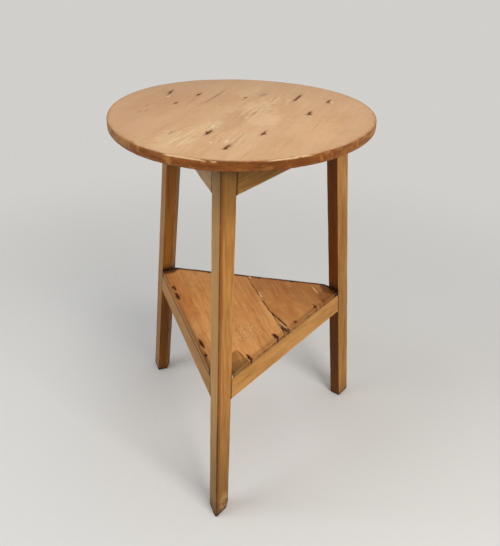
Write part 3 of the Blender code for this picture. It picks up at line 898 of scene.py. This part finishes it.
def shelf_cutters(name, marks):
    """Cutters for a shelf board's nail hollows, open joint, splits and broken corner."""
    cutters = [gouge(spot(place, SHELF_HEIGHT + HOLLOW_LIFT), heading(angle), UP, length * 0.85 / 1000,
                     width * 0.6 / 1000, SHELF_HOLLOW * strength, index)
               for index, (place, length, width, angle, strength, _) in enumerate(marks)]
    if name != "shelf_corner_patch":
        places = [SHELF_ACROSS * (SHELF_JOINT + noise.noise(Vector((step, 5, 7)) * 0.8) * 0.0025)
                  + SHELF_GRAIN * (step * 0.0235 - 0.085) + UP * SHELF_HEIGHT for step in range(11)]
        cutters.append(crack(places, 0.0024, 0.0026, 60))
    if name == "shelf_board_right":
        cutters += [crack([spot(place, SHELF_HEIGHT) for place in places], width / 1000, depth / 1000, index)
                    for index, (places, width, depth) in enumerate(SHELF_SPLITS)]
        cutters += [gouge(spot(place, SHELF_HEIGHT), heading(angle), UP, length / 1000, width / 1000,
                          depth / 1000, index + 40)
                    for index, (place, length, width, depth, angle) in enumerate(CORNER_BREAKS)]
    return cutters


def make_shelf_board(name, heart, seed):
    """A board of the shelf, with its nail hollows, splits and broken edges."""
    low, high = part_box(name)

    def is_here(place):
        """Whether a mark lies on this board."""
        return low.x - 0.01 < place.x < high.x + 0.01 and low.y - 0.01 < place.y < high.y + 0.01

    bm = merged_copy(name)
    lines = soften(bm, arrises_of(bm, shortest=0.012), width=0.0006, segments=2)
    comb(bm, (SHELF_GRAIN, 0.008), (SHELF_ACROSS, 0.008), (UP, 0.003))
    wear(bm, lines, depth=0.0007, waviness=0.0003, seed=seed)
    marks = [mark for mark in SHELF_MARKS if is_here(spot(mark[0], 0))]
    board = piece_from(bm, name, shelf_wood(name, heart, seed, marks).done())
    carve(board, shelf_cutters(name, marks))
    finish_surface(board, lines)


def stain_shelf(wood, name):
    """Grime along the shelf's edges, partly painted shade along the front-right one, painted shadow round the
    legs and beside the right leg's broken corner, and grime along the joint of the boards.
    """
    edge_face = wood.height.ramp(SHELF_HEIGHT - 0.0008, SHELF_HEIGHT - 0.0020)
    # Dark bands and edge faces along the sides: grime, and along the front-right side partly painted shade
    for side, surface_strength in (("front_right", 0.45), ("front_left", 0.30), ("back", 0.30)):
        reach = max(reach_of(board, FACING[side]) for board in ("shelf_board_wide", "shelf_board_right"))
        inwards = reach - wood.world.towards(FACING[side])
        band = (inwards + (wood.blotchiness - 0.5) * 0.014).ramp(0.014, 0.004)
        wood.tint(band * surface_strength, (116, 76, 36))
        face = inwards.ramp(0.0045, 0.0025) * edge_face
        if side == "front_left":
            wood.tint(inwards.ramp(0.0085, 0.0020) * wood.blotchiness.ramp(0.26, 0.46) * 0.6, (108, 70, 26))
            wood.tint(face * 0.5, (150, 104, 56))
            low_face = face * wood.height.ramp(SHELF_HEIGHT - 0.0065, SHELF_HEIGHT - 0.0090)
            wood.tint(low_face * 0.7, (92, 58, 26))
        else:
            wood.tint(face * 0.7, (150, 100, 50))
            wood.tint(face * wood.blotchiness.ramp(0.45, 0.62) * 0.6, (98, 60, 24))
        if side == "back":
            wood.tint(inwards.ramp(0.0105, 0.0055) * wood.blotchiness.ramp(0.28, 0.46) * 0.9, (62, 32, 14))
    # Painted shadow round the legs
    for place, reach in LEG_SHADOW_CORNERS:
        near = wood.world.vector('DISTANCE', spot(place, SHELF_HEIGHT), output=1) + (wood.blotchiness - 0.5) * 0.016
        wood.tint(near.ramp(reach / 1000, reach / 1000 - 0.009) * 0.85, (48, 26, 12))
    if name == "shelf_corner_patch":
        wood.tint(wood.mark((-17, -182), 60, 30, heading(52)) * 0.6, (128, 96, 50))
        wood.tint(wood.mark((-21.7, -207), 12, 6, heading(52)), (226, 188, 130))
        return
    from_joint = (wood.world.towards(SHELF_ACROSS) - SHELF_JOINT).math('ABSOLUTE')
    wood.tint(from_joint.ramp(0.0022, 0.0006) * wood.blotchiness.ramp(0.38, 0.56) * 0.75, (92, 54, 26))
    for board, place, length, width, angle, edge, strength, tone in SHELF_SHADES:
        if board == name:
            shade = wood.mark(place, length, width, heading(angle), edge)
            wood.tint(shade * strength, tone)
    if name == "shelf_board_right":
        torn = wood.mark((188, 84), 50, 20, heading(112), 2.0)
        wood.tint(torn * wood.streak.ramp(0.48, 0.56) * 0.6, (120, 62, 20))
        # Painted shadow where the board has come away from the right leg
        for place, length, width, angle in (((194, 110), 50, 12, 127), ((202, 88), 26, 10, 105)):
            gap_shadow = wood.mark(place, length, width, heading(angle), 1.2)
            wood.tint(gap_shadow * 0.92, (36, 20, 10))


def nail_iron():
    """Dark forged iron with a little rust."""
    material, tree, shader = new_material("nail_iron")
    rust = node(tree, "ShaderNodeTexCoord", output=3).speckle(900, 4, 0.6).ramp(0.45, 0.65)
    feed(shader.inputs["Base Color"], blend(rust, paint(62, 46, 36), paint(96, 54, 28)))
    feed(shader.inputs["Metallic"], 0.5 - rust * 0.45)
    feed(shader.inputs["Roughness"], rust * 0.3 + 0.5)
    return material


# The pieces

# The front leg has a narrow flat along its front arris, and a worn corner and tip at its foot
front_flat = (FRONT_ARRIS[0], (heading(207) + UP * 0.061).normalized())
worn_corner = (Vector((-0.0283, -0.2408, 0)) - heading(-15) * 0.0035,
               (heading(-15) - UP * 0.16).normalized())
blunt_tip = (FRONT_ARRIS[0] + UP * 0.0045, (heading(-100) - UP * 0.9).normalized())
leg_nick = gouge(Vector((0.2205, 0.0985, 0.173)), UP, heading(-105), 0.009, 0.004, 0.0018, 3)
make_leg("front_leg", Vector((-0.09, -0.15, 0.3)), 3, flats=(front_flat, worn_corner, blunt_tip))
make_leg("right_leg", Vector((0.15, 0.20, 0.3)), 5, nicks=(leg_nick,))
make_leg("left_leg", Vector((-0.10, 0.10, 0.3)), 7)

frieze_crack = gouge(Vector((-0.0651, -0.1428, 0.654)), UP.cross(FACING["front_left"]),
                     FACING["front_left"], 0.022, 0.0016, 0.004, 5)
shelf_rail_crack = gouge(Vector((0.0135, -0.1609, 0.2825)),
                         (UP.cross(FACING["front_right"]) + UP * 0.35).normalized(),
                         FACING["front_right"], 0.044, 0.0016, 0.004, 9)
for number, side_name in enumerate(FACING):
    heart_line = FACING[side_name] * 0.06
    make_rail("frieze_rail_" + side_name, side_name, heart_line + UP * 0.66, 11 + number,
              [frieze_crack] if side_name == "front_left" else [])
    make_rail("shelf_rail_" + side_name, side_name, heart_line + UP * 0.29, 21 + number,
              [shelf_rail_crack] if side_name == "front_right" else [])


def is_beyond_joint(place):
    """Whether a place on the top is on the narrow board."""
    return place.dot(TOP_ACROSS) > TOP_JOINT


make_top_board("top_board_wide", Vector((0.03, 0.0, TOP_HEIGHT - 0.07)), 31,
               lambda place: not is_beyond_joint(place))
make_top_board("top_board_narrow", Vector((-0.15, 0.05, TOP_HEIGHT - 0.05)), 33, is_beyond_joint)
make_shelf_board("shelf_board_wide", Vector((-0.08, 0.0, SHELF_HEIGHT - 0.05)), 41)
make_shelf_board("shelf_board_right", Vector((0.12, 0.05, SHELF_HEIGHT - 0.06)), 43)
make_shelf_board("shelf_corner_patch", Vector((0.0, -0.2, SHELF_HEIGHT - 0.03)), 45)

# The nails keep their own solids
iron = nail_iron()
for node_name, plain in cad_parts.items():
    if "_nail_" in node_name:
        for material_slot in plain.material_slots:
            material_slot.material = iron


# The studio

PALE = paint(208, 206, 202)
FLOOR = paint(226, 223, 218)
LAMPS_LOOK_AT = Vector((0, 0, 0.4))
# The camera in the fit of the photographed outline: its place, and its focal
# length as pixels of a picture 546 high
CAMERA_PLACE = (-0.0044, -1.2014, 1.1176)
FOCAL_PIXELS = 685.64
PICTURE_PIXELS = 546
SENSOR_WIDTH = 36


def make_floor():
    """A plain pale floor, which thins out into the pale surroundings."""
    bm = bmesh.new()
    bmesh.ops.create_grid(bm, x_segments=1, y_segments=1, size=4)
    floor = object_from(bm, "floor")
    material, tree, shader = new_material("floor_paint")
    feed(shader.inputs["Base Color"], FLOOR)
    feed(shader.inputs["Roughness"], 0.9)
    feed(shader.inputs["Specular IOR Level"], 0.1)
    far = node(tree, "ShaderNodeTexCoord", output=3).vector('LENGTH', output=1).ramp(0.45, 1.7)
    clear = node(tree, "ShaderNodeBsdfTransparent")
    mixed = node(tree, "ShaderNodeMixShader", {}, {0: far, 1: Field(shader.outputs[0]), 2: clear})
    feed(tree.nodes["Material Output"].inputs["Surface"], mixed)
    floor.data.materials.append(material)


def add_softbox(name, place, size, power, colour):
    """A large square lamp that faces the table."""
    lamp = bpy.data.lights.new(name, 'AREA')
    lamp.shape = 'SQUARE'
    lamp.size = size
    lamp.energy = power
    lamp.color = colour
    softbox = add_object(name, lamp)
    softbox.location = place
    softbox.rotation_euler = (LAMPS_LOOK_AT - Vector(place)).to_track_quat('-Z', 'Y').to_euler()
    softbox.visible_camera = False


def make_surroundings():
    """Soft light from all round, and a pale surround where it is looked at."""
    world = bpy.data.worlds.new("world")
    world.use_nodes = True
    tree = world.node_tree
    soft = tree.nodes["Background"]
    feed(soft.inputs["Color"], (0.95, 0.97, 1.0, 1))
    feed(soft.inputs["Strength"], 0.36)
    pale = node(tree, "ShaderNodeBackground", {}, {"Color": PALE, "Strength": 1})
    rays = tree.nodes.new("ShaderNodeLightPath")
    seen = Field(rays.outputs["Is Camera Ray"]).most(Field(rays.outputs["Is Glossy Ray"]),
                                                     Field(rays.outputs["Is Transmission Ray"]))
    mixed = node(tree, "ShaderNodeMixShader", {}, {0: seen, 1: Field(soft.outputs[0]), 2: pale})
    feed(tree.nodes["World Output"].inputs["Surface"], mixed)
    bpy.context.scene.world = world


def make_camera():
    """The camera, from the fit of the photographed outline."""
    pan, tilt, roll = radians(0.64), radians(30.52), radians(1.17)
    ahead = Vector((sin(pan), cos(pan), 0))
    right = Vector((cos(pan), -sin(pan), 0))
    view = ahead * cos(tilt) - UP * sin(tilt)
    rise = UP * cos(tilt) + ahead * sin(tilt)
    side = right * cos(roll) + rise * sin(roll)
    top = rise * cos(roll) - right * sin(roll)
    lens = bpy.data.cameras.new("camera")
    lens.sensor_width = SENSOR_WIDTH
    lens.lens = FOCAL_PIXELS * SENSOR_WIDTH / PICTURE_PIXELS
    camera = add_object("camera", lens)
    turn = Matrix((side, top, -view)).transposed().to_4x4()
    camera.matrix_world = Matrix.Translation(CAMERA_PLACE) @ turn
    bpy.context.scene.camera = camera


make_floor()
add_softbox("overhead", (0.0, 0.3, 2.9), 2.2, 10, (1.0, 0.99, 0.97))
add_softbox("front_window", (1.3, -2.0, 1.8), 1.3, 50, (1.0, 0.98, 0.94))
add_softbox("left_window", (-2.3, -0.7, 1.5), 1.6, 30, (0.84, 0.92, 1.0))
make_surroundings()
bpy.context.scene.view_settings.view_transform = 'Standard'
make_camera()
